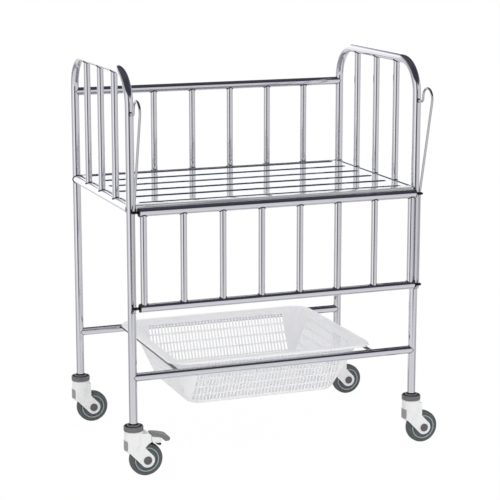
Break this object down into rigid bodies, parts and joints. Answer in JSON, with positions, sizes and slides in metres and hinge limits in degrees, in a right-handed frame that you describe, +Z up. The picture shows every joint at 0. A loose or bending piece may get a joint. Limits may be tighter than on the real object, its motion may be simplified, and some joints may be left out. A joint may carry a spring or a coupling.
{
  "type": "hospital bassinet",
  "caption": "Hospital bassinet on casters: polished steel tube cot frame with barred ends and back, drop front gate on guide rods, slotted deck and a white lift-out basket below.",
  "frame": {"origin": "on the floor, under the middle of the outer box", "axes": "+X along the length to the right seen from the gate side, +Y to the back rail, +Z up"},
  "size_m": [0.8124, 0.5684, 0.96],
  "materials": {
    "steel_tube": "polished",
    "steel_sheet": "polished",
    "steel_rod": "polished",
    "collar_grey": "satin",
    "black_plastic": "satin",
    "basket_plastic": "satin",
    "white_plastic": "satin",
    "grey_rubber": "matt",
    "hub_grey": "satin",
    "cap_grey": "satin",
    "pad_grey": "matt"
  },
  "bodies": {
    "frame": {"left_end_hoop": "steel_tube", "right_end_hoop": "steel_tube", "left_end_bar_1": "steel_tube", "left_end_bar_2": "steel_tube", "left_end_bar_3": "steel_tube", "right_end_bar_1": "steel_tube", "right_end_bar_2": "steel_tube", "right_end_bar_3": "steel_tube", "left_deck_rail": "steel_tube", "right_deck_rail": "steel_tube", "front_deck_rail": "steel_tube", "back_deck_rail": "steel_tube", "deck_panel": "steel_sheet", "back_top_rail": "steel_tube", "back_bar_1": "steel_tube", "back_bar_2": "steel_tube", "back_bar_3": "steel_tube", "back_bar_4": "steel_tube", "back_bar_5": "steel_tube", "back_bar_6": "steel_tube", "front_lower_rail": "steel_tube", "back_lower_rail": "steel_tube", "left_guide_rod": "steel_rod", "right_guide_rod": "steel_rod", "left_basket_rod": "steel_rod", "right_basket_rod": "steel_rod", "caster_collars": "collar_grey", "caster_stems": "steel_rod"},
    "gate_slider": {"gate_lower_eyes": "steel_rod"},
    "gate": {"gate_top_rail": "steel_tube", "gate_bottom_rail": "steel_tube", "gate_bar_1": "steel_tube", "gate_bar_2": "steel_tube", "gate_bar_3": "steel_tube", "gate_bar_4": "steel_tube", "gate_bar_5": "steel_tube", "gate_bar_6": "steel_tube", "gate_bar_7": "steel_tube", "gate_bar_8": "steel_tube", "gate_end_plugs": "black_plastic", "gate_upper_eyes": "steel_rod"},
    "basket": {"basket": "basket_plastic"},
    "front_left_swivel": {"front_left_caster_fork": "white_plastic", "front_left_caster_axle": "cap_grey"},
    "front_left_wheel": {"front_left_caster_tyre": "grey_rubber", "front_left_caster_hub": "hub_grey"},
    "front_right_swivel": {"front_right_caster_fork": "white_plastic", "front_right_caster_axle": "cap_grey"},
    "front_right_wheel": {"front_right_caster_tyre": "grey_rubber", "front_right_caster_hub": "hub_grey"},
    "back_left_swivel": {"back_left_caster_fork": "white_plastic", "back_left_caster_axle": "cap_grey"},
    "back_left_wheel": {"back_left_caster_tyre": "grey_rubber", "back_left_caster_hub": "hub_grey"},
    "back_right_swivel": {"back_right_caster_fork": "white_plastic", "back_right_caster_axle": "cap_grey"},
    "back_right_wheel": {"back_right_caster_tyre": "grey_rubber", "back_right_caster_hub": "hub_grey"},
    "brake": {"brake_lever": "white_plastic", "brake_pedal_pad": "pad_grey"}
  },
  "joints": [
    {"name": "gate_slide", "type": "slide", "parent": "frame", "child": "gate_slider", "axis": [0, 0, 1], "range_m": [0, 0.215]},
    {"name": "gate_lean", "type": "hinge", "parent": "gate_slider", "child": "gate", "pos_m": [-0.02275, -0.22425, 0.41], "axis": [1, 0, 0], "range_deg": [0, 13.4]},
    {"name": "basket_lift", "type": "slide", "parent": "frame", "child": "basket", "axis": [0, 0, 1], "range_m": [0, 0.25]},
    {"name": "front_left_swivel", "type": "hinge", "parent": "frame", "child": "front_left_swivel", "pos_m": [-0.38275, -0.19925, 0.112], "axis": [0, 0, 1], "continuous": true},
    {"name": "front_left_roll", "type": "hinge", "parent": "front_left_swivel", "child": "front_left_wheel", "pos_m": [-0.35375, -0.19925, 0.04], "axis": [0, 1, 0], "continuous": true},
    {"name": "front_right_swivel", "type": "hinge", "parent": "frame", "child": "front_right_swivel", "pos_m": [0.33725, -0.19925, 0.112], "axis": [0, 0, 1], "continuous": true},
    {"name": "front_right_roll", "type": "hinge", "parent": "front_right_swivel", "child": "front_right_wheel", "pos_m": [0.36625, -0.19925, 0.04], "axis": [0, 1, 0], "continuous": true},
    {"name": "back_left_swivel", "type": "hinge", "parent": "frame", "child": "back_left_swivel", "pos_m": [-0.38275, 0.26075, 0.112], "axis": [0, 0, 1], "continuous": true},
    {"name": "back_left_roll", "type": "hinge", "parent": "back_left_swivel", "child": "back_left_wheel", "pos_m": [-0.35375, 0.26075, 0.04], "axis": [0, 1, 0], "continuous": true},
    {"name": "back_right_swivel", "type": "hinge", "parent": "frame", "child": "back_right_swivel", "pos_m": [0.33725, 0.26075, 0.112], "axis": [0, 0, 1], "continuous": true},
    {"name": "back_right_roll", "type": "hinge", "parent": "back_right_swivel", "child": "back_right_wheel", "pos_m": [0.36625, 0.26075, 0.04], "axis": [0, 1, 0], "continuous": true},
    {"name": "brake_press", "type": "hinge", "parent": "front_left_swivel", "child": "brake", "pos_m": [-0.35175, -0.19925, 0.099], "axis": [0, 1, 0], "range_deg": [0, 6]}
  ],
  "couplings": [
    {"joint": "gate_lean", "follows": "gate_slide", "rad_per_m": 1.085}
  ]
}
